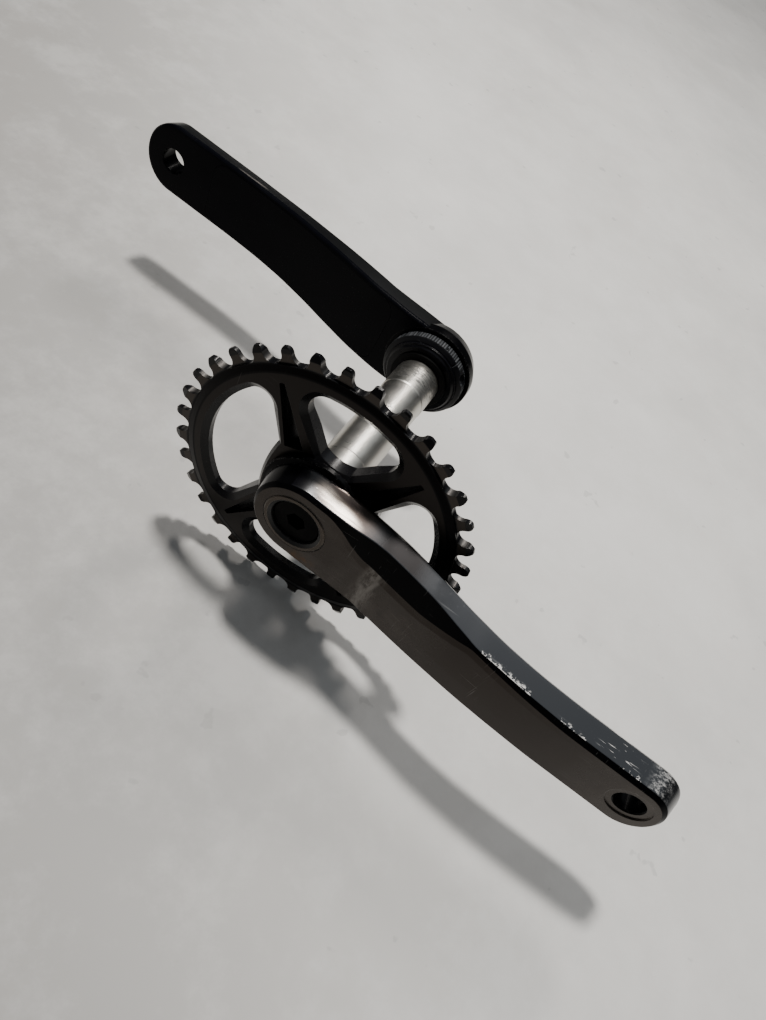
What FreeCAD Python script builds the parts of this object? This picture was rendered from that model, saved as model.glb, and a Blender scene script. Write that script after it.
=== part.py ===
"""One-by bicycle crankset: two hollow crank arms, a splined spindle, a direct-mount
chainring and their fasteners.

Row frame, millimetres: the origin is the spindle axis midway across the bottom-bracket
shell, +X is the drive-side crank arm, -Y is the drive side and +Z completes the frame.
"out" below means the distance from the middle of the bike along the spindle: the drive
side lies at y = -out and the left side at y = +out.
"""
import FreeCAD, Part
import math
import os
import Sketcher

V = FreeCAD.Vector
DRIVE = -1
LEFT = 1
DOC = FreeCAD.newDocument("bicycle_crankset")

# ---------------------------------------------------------------- driving dimensions
DIMENSIONS = {
    "arm_length": 175.0,            # spindle axis to pedal axis
    "pedal_inner": 72.0,            # inner face of an arm at the pedal, out from the middle
    "pedal_outer": 84.0,            # outer face of an arm at the pedal (half the Q-factor)
    "root_inner": 57.6,             # inner face of an arm beside its hub
    "hub_outer": 71.3,              # outer face of both hubs
    "arm_inner_half_width": 22.4,
    "arm_outer_half_width": 21.2,
    "tip_inner_half_width": 18.6,
    "tip_outer_half_width": 16.7,
    "bevel_half_width": 13.4,       # where the black bevel meets the outer face
    "bevel_depth": 1.6,
    "plate_thickness": 1.8,         # bonded inner plate of an arm
    "bond_line": 0.05,
    "plate_margin": 2.4,
    "cavity_margin": 4.6,
    "arm_wall": 2.6,
    "pedal_thread_radius": 6.5,     # minor radius of a 9/16 inch x 20 tapped hole
    "pedal_recess_radius": 9.9,
    "pedal_recess_depth": 0.6,
    "hub_radius": 20.8,
    "hub_flange_radius": 24.4,
    "spindle_radius": 12.0,         # bearing seats of a 24 mm spindle
    "spindle_waist_radius": 11.7,
    "spindle_bore": 9.5,
    "spindle_left_end": 69.2,
    "spindle_drive_end": 62.0,
    "spindle_relief_radius": 11.7,
    "spindle_tip_radius": 11.4,
    "thread_runout": 2.0,
    "relief_step": 0.2,             # length of the slope into a relief
    "waist_step": 0.6,
    "drive_seat_start": 30.5,
    "drive_seat_end": 44.0,
    "left_seat_start": 27.8,
    "left_seat_end": 46.0,
    "left_relief_length": 4.4,
    "bung_face": 36.0,
    "bung_mouth": 30.0,
    "bung_wall": 1.2,
    "drive_boss_end": 45.5,         # face that meets the drive-side bearing cup
    "drive_flange_back": 58.3,
    "drive_neck_start": 61.6,
    "drive_neck_end": 69.8,
    "drive_face_radius": 19.3,
    "bolt_bore_floor": 62.5,        # shoulder that the crank bolt's washer bears on
    "bolt_bore_radius": 14.0,
    "extractor_floor": 68.4,
    "spline_radius": 0.8,
    "spline_play": 0.08,
    "rib_setback": 0.4,
    "running_play": 0.06,
    "ring_front": 55.4,             # outward face of the chainring
    "ring_rim_back": 50.4,
    "ring_hub_back": 47.6,
    "chainline": 53.0,              # middle plane of the teeth
    "wide_tooth_half": 1.9,
    "narrow_tooth_half": 1.05,
    "tip_radius": 72.3,
    "tip_half": 0.7,
    "tip_slope": 2.8,
    "pitch_radius": 68.82,          # 34 teeth on a 12.7 mm pitch
    "roller_seat_radius": 4.05,
    "seat_overlap": 0.02,
    "tooth_crown_radius": 4.0,
    "gap_mouth_half": 5.95,
    "root_clearance": 0.4,
    "rim_face_radius": 62.2,
    "tooth_root_radius": 64.7,
    "window_radius": 55.2,
    "window_bevel": 3.0,
    "window_bevel_depth": 1.9,
    "slot_depth": 4.0,
    "ring_bore": 18.06,
    "boss_spline_radius": 18.0,
    "boss_thread_radius": 16.4,
    "lockring_radius": 20.0,
    "lockring_recess": 20.3,
    "lockring_recess_floor": 49.1,
    "lockring_back": 46.0,
    "lockring_front": 48.45,
    "lockring_notch": 1.2,
    "lockring_washer_radius": 19.6,
    "lockring_washer_back": 48.5,
    "lockring_washer_front": 49.05,
    "ring_key_radius": 1.1,
    "ring_key_length": 4.2,
    "key_setback": 0.2,
    "key_play": 0.1,
    "rim_inner_radius": 56.0,
    "hub_web_radius": 36.0,
    "bolt_shank": 8.0,
    "bolt_flange": 13.1,
    "bolt_head": 10.9,
    "bolt_hex_flat": 4.0,           # half of the 8 mm hexagon socket
    "bolt_end": 47.5,
    "bolt_flange_back": 64.2,
    "bolt_flange_front": 67.9,
    "bolt_face": 69.6,
    "bolt_chamfer": 0.4,
    "bolt_socket_floor": 60.0,
    "bolt_washer_inner": 8.6,
    "bolt_washer_outer": 13.8,
    "bolt_washer_back": 62.55,
    "bolt_washer_front": 64.1,
    "extractor_radius": 14.8,
    "extractor_bore": 11.4,
    "extractor_back": 68.45,
    "extractor_front": 71.7,
    "extractor_edge": 0.55,
    "extractor_lead_in": 1.5,       # bevel of the mouth, across
    "extractor_lead_depth": 1.1,    # and along the axis
    "extractor_groove_radius": 12.2,
    "extractor_groove_back": 69.0,
    "extractor_groove_front": 70.1,
    "extractor_o_ring_radius": 11.65,
    "extractor_o_ring_thickness": 0.5,
    "left_boss_radius": 16.9,
    "left_boss_end": 51.3,
    "left_flange_back": 63.0,
    "left_shoulder_radius": 21.6,
    "left_shoulder_end": 69.9,
    "left_face_radius": 20.2,
    "cap_floor": 69.3,
    "cap_radius": 12.95,
    "cap_play": 0.05,
    "cap_face": 70.9,
    "cap_chamfer": 0.5,
    "preload_groove_radius": 15.3,
    "preload_groove_near": 55.3,
    "preload_groove_far": 56.9,
    "preload_o_ring_radius": 16.08,
    "preload_o_ring_thickness": 0.72,
    "preload_outer": 22.3,
    "preload_inner": 16.96,
    "preload_back": 57.3,
    "preload_front": 51.0,
    "preload_rounding": 0.5,
    "preload_step": 1.6,
    "washer_outer": 19.9,
    "washer_inner": 12.6,
    "washer_back": 50.8,
    "washer_front": 48.4,
    "washer_lip": 0.9,
    "washer_chamfer": 0.3,
    "clamp_screw_radius": 1.25,
    "clamp_screw_offset": 19.7,
    "clamp_head_radius": 2.2,
    "clamp_screw_length": 12.2,
    "clamp_head_height": 2.3,
    "clamp_socket_radius": 1.15,
    "clamp_screw_depth": 3.1,       # from the ring's back face to the screw's axis
    "clamp_slit": 1.0,
    "flute_radius": 0.9,
    "flute_offset": 0.55,
    "seal_outer": 15.2,
    "left_seal_near": 46.9,
    "left_seal_far": 48.3,
    "drive_seal_near": 44.1,
    "drive_seal_far": 45.45,
}
TEETH = 34
SPLINES = 24
RING_KEYS = 12
KNURLS = 40
LOCKRING_NOTCHES = 12
CLAMP_SCREW_ANGLE = 58.0            # degrees from +X towards +Z, where the preload ring is split
ARM_STATIONS = (0.0, 0.17, 0.26, 0.34, 0.43, 0.52, 0.63, 0.86, 1.0)
PLATE_STATIONS = ARM_STATIONS[1:-1]
CAVITY_STATIONS = PLATE_STATIONS[1:-1]
OVERCUT = 1.0                       # how far a cutting shape reaches past the face it opens
SIDE_WINDOW = {"corner": 6.5, "top": 35.5, "hub": (25.3, 16.7), "hub_arc": 80.0}
END_WINDOW = {"corner": 8.5, "side": 20.9, "hub": (7.4, 24.6), "hub_arc": 15.5}
SPOKE_SLOT = ((34.2, 46.0), (32.2, 47.2), (13.9, 21.8), (21.8, 18.0))
CLAMP_SCREW_START = -8.0            # along the screw's axis, from its nearest point to the spindle
CLAMP_HEAD_START = 4.1
CLAMP_SOCKET_START = 5.2
CLAMP_SOCKET_DEPTH = 3.0


def make_sheet():
    """The spreadsheet that holds every driving dimension, one alias a row."""
    table = DOC.addObject("Spreadsheet::Sheet", "Sizes")
    for row, (alias, number) in enumerate(DIMENSIONS.items(), start=1):
        table.set(f"A{row}", alias)
        table.set(f"B{row}", str(number))
        table.setAlias(f"B{row}", alias)
    DOC.recompute()
    return table


SHEET = make_sheet()


class Dim:
    """A size worked out from the sheet: its value now and the expression that keeps it."""

    def __init__(self, number, text):
        self.number = number
        self.text = text

    def __add__(self, other):
        other = dim(other)
        return Dim(self.number + other.number, f"({self.text} + {other.text})")

    def __sub__(self, other):
        other = dim(other)
        return Dim(self.number - other.number, f"({self.text} - {other.text})")

    def __mul__(self, other):
        other = dim(other)
        return Dim(self.number * other.number, f"({self.text} * {other.text})")

    def __neg__(self):
        return self * -1

    __radd__ = __add__
    __rmul__ = __mul__


def dim(item):
    """A Dim from a sheet alias, a plain number or another Dim."""
    if isinstance(item, Dim):
        return item
    if isinstance(item, str):
        return Dim(DIMENSIONS[item], f"Sizes.{item}")
    return Dim(float(item), f"({float(item):.6f})")


def blend(start, end, weight):
    """A size part of the way from one to another."""
    return dim(start) + (dim(end) - dim(start)) * weight


def smooth(fraction):
    """0 to 1 with a level start and end."""
    clipped = min(1.0, max(0.0, fraction))
    return clipped * clipped * (3.0 - 2.0 * clipped)


# ---------------------------------------------------------------- sketch and feature helpers
def new_body(label):
    body = DOC.addObject("PartDesign::Body", label)
    body.Label = label
    return body


def origin_plane(body, role):
    return next(item for item in body.Origin.OriginFeatures if item.Role == role)


def new_sketch(body, role, offset=None, turn=0.0):
    """A sketch on an origin plane, moved along the plane's normal by a bound offset."""
    sketch = body.newObject("Sketcher::SketchObject", body.Label + "_sketch")
    sketch.AttachmentSupport = [(origin_plane(body, role), "")]
    sketch.MapMode = "FlatFace"
    sketch.AttachmentOffset = FreeCAD.Placement(V(0, 0, 0), FreeCAD.Rotation(V(0, 0, 1), turn))
    if offset is not None:
        sketch.setExpression("AttachmentOffset.Base.z", dim(offset).text)
    return sketch


def pin_point(sketch, geometry, end, spot):
    """Hold one end of a sketch line at a point given by two sizes."""
    for kind, axis, size in (("DistanceX", -2, spot[0]), ("DistanceY", -1, spot[1])):
        size = dim(size)
        if abs(size.number) < 1e-9:
            sketch.addConstraint(Sketcher.Constraint("PointOnObject", geometry, end, axis))
        else:
            index = sketch.addConstraint(
                Sketcher.Constraint(kind, -1, 1, geometry, end, size.number))
            sketch.setExpression(f"Constraints[{index}]", size.text)


def arc_crown(start, end, radius, bulge):
    """Middle of an arc from start to end, on the left (+1) or right (-1) of the chord."""
    chord = end - start
    middle = (start + end) * 0.5
    side = V(-chord.y, chord.x, 0).normalize() * bulge
    reach = math.sqrt(max(radius * radius - chord.Length * chord.Length / 4.0, 0.0))
    return middle + side * (radius - reach)


def outline(sketch, corners, arcs=None):
    """A closed outline through corners; arcs maps an edge's number to (radius, side)."""
    arcs = arcs or {}
    spots = [V(dim(x).number, dim(y).number, 0) for x, y in corners]
    count = len(spots)
    first = sketch.GeometryCount
    ends = []
    for index in range(count):
        start = spots[index]
        end = spots[(index + 1) % count]
        if index in arcs:
            radius, side = arcs[index]
            size = dim(radius)
            crown = arc_crown(start, end, size.number, side)
            number = sketch.addGeometry(Part.Arc(start, crown, end), False)
            forward = (sketch.getPoint(number, 1) - start).Length < 1e-6
            ends.append((1, 2) if forward else (2, 1))
            rule = sketch.addConstraint(Sketcher.Constraint("Radius", number, size.number))
            sketch.setExpression(f"Constraints[{rule}]", size.text)
        else:
            number = sketch.addGeometry(Part.LineSegment(start, end), False)
            ends.append((1, 2))
    for index in range(count):
        follower = (index + 1) % count
        sketch.addConstraint(Sketcher.Constraint(
            "Coincident", first + index, ends[index][1], first + follower, ends[follower][0]))
        pin_point(sketch, first + index, ends[index][0], corners[index])
    return sketch


def circle(sketch, centre, radius):
    size = dim(radius)
    spot = V(dim(centre[0]).number, dim(centre[1]).number, 0)
    number = sketch.addGeometry(Part.Circle(spot, V(0, 0, 1), size.number), False)
    rule = sketch.addConstraint(Sketcher.Constraint("Radius", number, size.number))
    sketch.setExpression(f"Constraints[{rule}]", size.text)
    pin_point(sketch, number, 3, centre)
    return sketch


def spin(body, corners, cut=False, axis_x=None, arcs=None):
    """Revolve a profile of (radius, y) about Y, or about a line parallel to Y at axis_x."""
    sketch = new_sketch(body, "XY_Plane")
    outline(sketch, corners, arcs)
    axis_name = "V_Axis"
    if axis_x is not None:
        low = (axis_x, 0)
        high = (axis_x, 1)
        x_now = dim(axis_x).number
        line = sketch.addGeometry(Part.LineSegment(V(x_now, 0, 0), V(x_now, 1, 0)), True)
        pin_point(sketch, line, 1, low)
        pin_point(sketch, line, 2, high)
        axis_name = "Axis0"
    kind = "PartDesign::Groove" if cut else "PartDesign::Revolution"
    feature = body.newObject(kind, body.Label + ("_groove" if cut else "_revolve"))
    feature.Profile = sketch
    feature.ReferenceAxis = (sketch, [axis_name])
    feature.Angle = 360.0
    return feature


def push(body, sketch, length, cut=False, reverse=False, symmetric=False):
    """Pad a sketch along its normal, or pocket it against the normal."""
    kind = "PartDesign::Pocket" if cut else "PartDesign::Pad"
    feature = body.newObject(kind, body.Label + ("_pocket" if cut else "_pad"))
    feature.Profile = sketch
    feature.setExpression("Length", dim(length).text)
    feature.Reversed = reverse
    if symmetric:
        feature.SideType = "Symmetric"
    return feature


def loft(body, sections, cut=False):
    kind = "PartDesign::SubtractiveLoft" if cut else "PartDesign::AdditiveLoft"
    feature = body.newObject(kind, body.Label + "_loft")
    feature.Profile = sections[0]
    feature.Sections = sections[1:]
    feature.Ruled = True
    return feature


def repeat(body, feature, axis_sketch, count, angle=360.0):
    """Repeat a feature around the spindle axis."""
    pattern = body.newObject("PartDesign::PolarPattern", body.Label + "_pattern")
    pattern.Originals = [feature]
    pattern.Axis = (axis_sketch, ["N_Axis"])
    pattern.Angle = angle
    pattern.Occurrences = count
    body.Tip = pattern
    return pattern


def facing(side, points):
    """Turn (radius, out) points into sketch points on one side of the bike."""
    return [(radius, dim(out) * side) for radius, out in points]


def tube(label, inner, outer, near, far, side):
    """A plain ring or tube about the spindle axis."""
    body = new_body(label)
    spin(body, facing(side, [(inner, near), (outer, near), (outer, far), (inner, far)]))
    return body


# ---------------------------------------------------------------- crank arms
def arm_sizes(fraction):
    """Section of an arm at a fraction of its length: its faces and half widths."""
    sweep = smooth((fraction - 0.10) / 0.60)
    outer_sweep = smooth((fraction - 0.09) / 0.68)
    taper = smooth((fraction - 0.06) / 0.64)
    return {
        "inner": blend("root_inner", "pedal_inner", sweep),
        "outer": blend("hub_outer", "pedal_outer", outer_sweep),
        "inner_half": blend("arm_inner_half_width", "tip_inner_half_width", taper),
        "outer_half": blend("arm_outer_half_width", "tip_outer_half_width", taper),
    }


def arm_section(body, side, fraction, corners):
    """A polygon across an arm; side also says which way the arm points along X."""
    sketch = new_sketch(body, "YZ_Plane", dim("arm_length") * (-side * fraction))
    outline(sketch, [(dim(out) * side, dim(across) * -side) for across, out in corners])
    return sketch


def outer_section(body, side, fraction):
    size = arm_sizes(fraction)
    return arm_section(body, side, fraction, [
        (-size["inner_half"], size["inner"]),
        (size["inner_half"], size["inner"]),
        (size["outer_half"], size["outer"] - "bevel_depth"),
        (dim("bevel_half_width"), size["outer"]),
        (-size["outer_half"], size["outer"])])


def band_section(body, side, fraction, margin, low, high):
    """A rectangle behind the inner face, from low to high beyond that face."""
    size = arm_sizes(fraction)
    half = size["inner_half"] - margin
    return arm_section(body, side, fraction, [
        (-half, size["inner"] + low), (half, size["inner"] + low),
        (half, high(size)), (-half, high(size))])


def crank_arm(side, label, hub_outer_profile, hub_cut_profile):
    body = new_body(label)
    spin(body, facing(side, hub_outer_profile))
    loft(body, [outer_section(body, side, part) for part in ARM_STATIONS])
    pedal_x = dim("arm_length") * -side
    tip = [(pedal_x, "pedal_inner"),
           (pedal_x + dim("tip_inner_half_width") * -side, "pedal_inner"),
           (pedal_x + dim("tip_outer_half_width") * -side, "pedal_outer"),
           (pedal_x, "pedal_outer")]
    spin(body, facing(side, tip), axis_x=pedal_x)
    recess = [band_section(body, side, part, dim("plate_margin"), dim(-OVERCUT),
                           lambda size: size["inner"] + "plate_thickness")
              for part in PLATE_STATIONS]
    loft(body, recess, cut=True)
    cavity = [band_section(body, side, part, dim("cavity_margin"), dim(-OVERCUT),
                           lambda size: size["outer"] - "arm_wall" - "bevel_depth")
              for part in CAVITY_STATIONS]
    loft(body, cavity, cut=True)
    spin(body, facing(side, hub_cut_profile), cut=True)
    thread_wall = pedal_x + "pedal_thread_radius"
    recess_wall = pedal_x + "pedal_recess_radius"
    below = dim("pedal_inner") - OVERCUT
    recess_floor = dim("pedal_outer") - "pedal_recess_depth"
    above = dim("pedal_outer") + OVERCUT
    hole = [(pedal_x, below), (thread_wall, below), (thread_wall, recess_floor),
            (recess_wall, recess_floor), (recess_wall, above), (pedal_x, above)]
    spin(body, facing(side, hole), cut=True, axis_x=pedal_x)
    return body


def inner_plate(side, label):
    """The plate bonded into the inner face of an arm, which closes its hollow."""
    body = new_body(label)
    sections = [band_section(body, side, part, dim("plate_margin") + "bond_line", dim(0),
                             lambda size: size["inner"] + "plate_thickness" - "bond_line")
                for part in PLATE_STATIONS]
    loft(body, sections)
    return body


def drive_arm():
    """Drive-side arm: its boss passes through the chainring and carries the lockring."""
    outside = [(0, "drive_boss_end"), ("boss_thread_radius", "drive_boss_end"),
               ("boss_thread_radius", "ring_rim_back"), ("boss_spline_radius", "ring_rim_back"),
               ("boss_spline_radius", "ring_front"), ("hub_flange_radius", "ring_front"),
               ("hub_flange_radius", "drive_flange_back"), ("hub_radius", "drive_neck_start"),
               ("hub_radius", "drive_neck_end"), ("drive_face_radius", "hub_outer"),
               (0, "hub_outer")]
    bore = dim("spindle_radius") + "running_play"
    below = dim("drive_boss_end") - OVERCUT
    above = dim("hub_outer") + OVERCUT
    inside = [(0, below), (bore, below), (bore, "bolt_bore_floor"),
              ("bolt_bore_radius", "bolt_bore_floor"), ("bolt_bore_radius", "extractor_floor"),
              ("extractor_radius", "extractor_floor"), ("extractor_radius", above), (0, above)]
    body = crank_arm(DRIVE, "drive_arm", outside, inside)
    rib_start = dim("drive_boss_end") + "rib_setback"
    ribs = new_sketch(body, "XZ_Plane", rib_start)
    circle(ribs, (bore, 0), dim("spline_radius") - "spline_play")
    rib = push(body, ribs, dim("spindle_drive_end") - rib_start)
    repeat(body, rib, ribs, SPLINES)
    key_boss(body)
    return body


def left_arm():
    """Left arm: its boss carries the preload ring, and the spindle is pressed into it."""
    outside = [(0, "left_boss_end"), ("left_boss_radius", "left_boss_end"),
               ("left_boss_radius", "root_inner"), ("hub_flange_radius", "root_inner"),
               ("hub_flange_radius", "left_flange_back"),
               ("left_shoulder_radius", "left_shoulder_end"),
               ("left_face_radius", "hub_outer"), (0, "hub_outer")]
    below = dim("left_boss_end") - OVERCUT
    above = dim("hub_outer") + OVERCUT
    cap_wall = dim("cap_radius") + "cap_play"
    inside = [(0, below), ("spindle_radius", below), ("spindle_radius", "cap_floor"),
              (cap_wall, "cap_floor"), (cap_wall, above), (0, above)]
    body = crank_arm(LEFT, "left_arm", outside, inside)
    groove = [("preload_groove_radius", "preload_groove_near"),
              ("left_boss_radius", "preload_groove_near"),
              ("left_boss_radius", "preload_groove_far"),
              ("preload_groove_radius", "preload_groove_far")]
    spin(body, facing(LEFT, groove), cut=True)
    return body


# ---------------------------------------------------------------- spindle
def spindle():
    """Hollow spindle: two bearing seats, each ending in a relief, and a splined drive end."""
    body = new_body("spindle")
    seat = "spindle_radius"
    waist = "spindle_waist_radius"
    relief = "spindle_relief_radius"
    left_end = dim("spindle_left_end")
    left_relief_end = dim("left_seat_end") + "left_relief_length"
    spline_start = -(dim("drive_boss_end") + "rib_setback")
    thread_wall = dim("bolt_shank") + "running_play"
    drive_end = -dim("spindle_drive_end")
    spin(body, [("spindle_bore", left_end), (seat, left_end), (seat, left_relief_end),
                (relief, left_relief_end - "relief_step"),
                (relief, dim("left_seat_end") + "relief_step"), (seat, "left_seat_end"),
                (seat, "left_seat_start"), (waist, dim("left_seat_start") - "waist_step"),
                (waist, dim("waist_step") - "drive_seat_start"),
                (seat, -dim("drive_seat_start")), (seat, -dim("drive_seat_end")),
                (relief, -dim("drive_seat_end") - "relief_step"), (relief, spline_start),
                (seat, spline_start - "relief_step"), (seat, drive_end + "waist_step"),
                ("spindle_tip_radius", drive_end), (thread_wall, drive_end),
                (thread_wall, -dim("drive_boss_end")),
                ("spindle_bore", dim("thread_runout") - "drive_boss_end")])
    grooves = new_sketch(body, "XZ_Plane", dim("spindle_drive_end") + OVERCUT)
    circle(grooves, (seat, 0), "spline_radius")
    length = dim("spindle_drive_end") - "drive_boss_end" + OVERCUT + "spline_play"
    groove = push(body, grooves, length, cut=True)
    repeat(body, groove, grooves, SPLINES)
    return body


def spindle_bung():
    """Plastic cup that keeps water out of the hollow spindle."""
    body = new_body("spindle_bung")
    inner = dim("spindle_bore") - "bung_wall"
    floor = dim("bung_face") - "bung_wall"
    spin(body, [(0, "bung_face"), ("spindle_bore", "bung_face"), ("spindle_bore", "bung_mouth"),
                (inner, "bung_mouth"), (inner, floor), (0, floor)])
    return body


def left_hub_cap():
    body = new_body("left_hub_cap")
    back = dim("cap_floor") + "cap_play"
    corner = dim("cap_face") - "cap_chamfer"
    spin(body, [(0, "cap_face"), (dim("cap_radius") - "cap_chamfer", "cap_face"),
                ("cap_radius", corner), ("cap_radius", back), (0, back)])
    return body


# ---------------------------------------------------------------- preload adjuster
def preload_ring():
    """Knurled ring on the left boss, split and clamped by a small cross screw."""
    body = new_body("preload_ring")
    outer = dim("preload_outer")
    inner = dim("preload_inner")
    front = dim("preload_front")
    back = dim("preload_back")
    rounding = dim("preload_rounding")
    step = dim("preload_step")
    spin(body, [(inner, front), (outer - rounding - step, front),
                (outer - rounding, front + step - rounding), (outer, front + step),
                (outer, back - rounding), (outer - rounding, back), (inner, back)])
    flutes = new_sketch(body, "XZ_Plane", -(back + OVERCUT))
    circle(flutes, (outer + "flute_offset", 0), "flute_radius")
    flute = push(body, flutes, back + OVERCUT - front - step, cut=True, reverse=True)
    repeat(body, flute, flutes, KNURLS)
    slit = new_sketch(body, "XZ_Plane", -(back + OVERCUT), turn=CLAMP_SCREW_ANGLE)
    half = dim("clamp_slit") * 0.5
    outline(slit, [(inner - OVERCUT, -half), (outer + OVERCUT, -half),
                   (outer + OVERCUT, half), (inner - OVERCUT, half)])
    push(body, slit, back - front + 2 * OVERCUT, cut=True, reverse=True)
    screw_hole(body)
    return body


def screw_spot():
    """Centre of the clamp screw: its angle, and its place along the spindle."""
    angle = math.radians(CLAMP_SCREW_ANGLE)
    offset = dim("clamp_screw_offset")
    return (offset * math.cos(angle), offset * math.sin(angle),
            dim("preload_back") - "clamp_screw_depth")


def screw_direction():
    angle = math.radians(CLAMP_SCREW_ANGLE)
    return V(math.sin(angle), 0, -math.cos(angle))


def place_on_screw(feature, along):
    """Stand a cylinder's feature on the clamp screw's axis, a distance along it."""
    x, z, y = screw_spot()
    heading = screw_direction()
    feature.Placement = FreeCAD.Placement(V(0, 0, 0), FreeCAD.Rotation(V(0, 0, 1), heading))
    feature.setExpression(".Placement.Base.x", (x + along * heading.x).text)
    feature.setExpression(".Placement.Base.y", y.text)
    feature.setExpression(".Placement.Base.z", (z + along * heading.z).text)


def screw_hole(body):
    """Clearance hole and head counterbore for the clamp screw, as two cylinders taken out."""
    x, z, y = screw_spot()
    heading = screw_direction()
    for size, start, length in (("clamp_screw_radius", CLAMP_SCREW_START - 0.4, 14.0),
                                ("clamp_head_radius", CLAMP_HEAD_START - 0.1, 9.0)):
        drill = body.newObject("PartDesign::SubtractiveCylinder", "screw_drill")
        drill.AttachmentSupport = [(origin_plane(body, "XY_Plane"), "")]
        drill.MapMode = "ObjectXY"
        drill.setExpression("Radius", (dim(size) + "running_play").text)
        drill.Height = length
        turn = FreeCAD.Rotation(V(0, 0, 1), heading)
        drill.AttachmentOffset = FreeCAD.Placement(V(0, 0, 0), turn)
        drill.setExpression("AttachmentOffset.Base.x", (x + start * heading.x).text)
        drill.setExpression("AttachmentOffset.Base.y", y.text)
        drill.setExpression("AttachmentOffset.Base.z", (z + start * heading.z).text)


def preload_clamp_screw():
    """Socket screw across the split: a shank, a head and a 2 mm hexagon socket."""
    shank = DOC.addObject("Part::Cylinder", "clamp_screw_shank")
    shank.setExpression("Radius", "Sizes.clamp_screw_radius")
    shank.setExpression("Height", "Sizes.clamp_screw_length")
    place_on_screw(shank, CLAMP_SCREW_START)
    head = DOC.addObject("Part::Cylinder", "clamp_screw_head")
    head.setExpression("Radius", "Sizes.clamp_head_radius")
    head.setExpression("Height", "Sizes.clamp_head_height")
    place_on_screw(head, CLAMP_HEAD_START)
    socket = DOC.addObject("Part::Prism", "clamp_screw_socket")
    socket.Polygon = 6
    socket.setExpression("Circumradius", "Sizes.clamp_socket_radius")
    socket.Height = CLAMP_SOCKET_DEPTH
    place_on_screw(socket, CLAMP_SOCKET_START)
    whole = DOC.addObject("Part::Fuse", "clamp_screw_blank")
    whole.Base = shank
    whole.Tool = head
    screw = DOC.addObject("Part::Cut", "preload_clamp_screw")
    screw.Base = whole
    screw.Tool = socket
    screw.Label = "preload_clamp_screw"
    return screw


def preload_washer():
    """Ring that the adjuster pushes: it slides without turning, and bears on the cup."""
    body = new_body("preload_washer")
    outer = dim("washer_outer")
    inner = dim("washer_inner")
    back = dim("washer_back")
    front = dim("washer_front")
    lip = dim("washer_lip")
    spin(body, [(inner, back), (outer, back), (outer, front + lip), (outer - lip, front + lip),
                (outer - lip - "washer_chamfer", front + lip - "washer_chamfer"),
                (outer - 2 * lip, front), (inner, front)])
    return body


# ---------------------------------------------------------------- chainring
def chainring():
    """Ring with four spokes; its rim narrows to the teeth, and its web thickens to the hub."""
    body = new_body("chainring")
    tooth_front = dim("chainline") + "wide_tooth_half"
    tooth_back = dim("chainline") - "wide_tooth_half"
    crown_front = dim("chainline") + "tip_half"
    crown_back = dim("chainline") - "tip_half"
    slope_radius = dim("tip_radius") - "tip_slope"
    profile = [("ring_bore", "ring_front"), ("rim_face_radius", "ring_front"),
               ("tooth_root_radius", tooth_front), (slope_radius, tooth_front),
               ("tip_radius", crown_front), ("tip_radius", crown_back),
               (slope_radius, tooth_back), ("tooth_root_radius", tooth_back),
               ("rim_face_radius", "ring_rim_back"), ("rim_inner_radius", "ring_rim_back"),
               ("hub_web_radius", "ring_hub_back"), ("lockring_recess", "ring_hub_back"),
               ("lockring_recess", "lockring_recess_floor"),
               ("ring_bore", "lockring_recess_floor")]
    spin(body, facing(DRIVE, profile))
    cut_windows(body)
    cut_spoke_slots(body)
    cut_tooth_gaps(body)
    thin_alternate_teeth(body)
    add_ring_keys(body)
    return body


def tangent_corner(rim_radius, corner_radius, centre, start):
    """Where a corner arc meets the rim, and where a line from start touches that arc."""
    reach = math.hypot(*centre)
    rim_point = (centre[0] * rim_radius / reach, centre[1] * rim_radius / reach)
    across = centre[0] - start[0]
    along = centre[1] - start[1]
    gap = math.hypot(across, along)
    side = 1 if rim_point[0] > rim_point[1] else -1
    heading = math.atan2(along, across) + side * math.asin(corner_radius / gap)
    length = math.sqrt(gap * gap - corner_radius * corner_radius)
    touch = (start[0] + length * math.cos(heading), start[1] + length * math.sin(heading))
    return rim_point, touch


def side_window(grow):
    """Outline of a large window, in line with the arms, made larger by grow."""
    rim = DIMENSIONS["window_radius"]
    corner = SIDE_WINDOW["corner"]
    centre_up = SIDE_WINDOW["top"] - corner
    centre = (math.sqrt((rim - corner) ** 2 - centre_up ** 2), centre_up)
    hub = (SIDE_WINDOW["hub"][0] - 0.6 * grow, SIDE_WINDOW["hub"][1] + 0.3 * grow)
    rim_point, touch = tangent_corner(rim + grow, corner + grow, centre, hub)
    corners = [rim_point, (rim_point[0], -rim_point[1]), (touch[0], -touch[1]),
               (hub[0], -hub[1]), hub, touch]
    arcs = {0: (rim + grow, 1), 1: (corner + grow, 1), 3: (SIDE_WINDOW["hub_arc"], -1),
            5: (corner + grow, 1)}
    return corners, arcs


def end_window(grow):
    """Outline of a small window, across the arms, made larger by grow."""
    rim = DIMENSIONS["window_radius"]
    corner = END_WINDOW["corner"]
    centre_across = END_WINDOW["side"] - corner
    centre = (centre_across, math.sqrt((rim - corner) ** 2 - centre_across ** 2))
    hub = (END_WINDOW["hub"][0] + 0.5 * grow, END_WINDOW["hub"][1] - 0.4 * grow)
    rim_point, touch = tangent_corner(rim + grow, corner + grow, centre, hub)
    corners = [(-rim_point[0], rim_point[1]), rim_point, touch, hub, (-hub[0], hub[1]),
               (-touch[0], touch[1])]
    arcs = {0: (rim + grow, 1), 1: (corner + grow, 1), 3: (END_WINDOW["hub_arc"], 1),
            5: (corner + grow, 1)}
    return corners, arcs


def window_sketch(body, shape, grow, out):
    sketch = new_sketch(body, "XZ_Plane", out)
    corners, arcs = shape(grow)
    return outline(sketch, corners, arcs)


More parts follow.
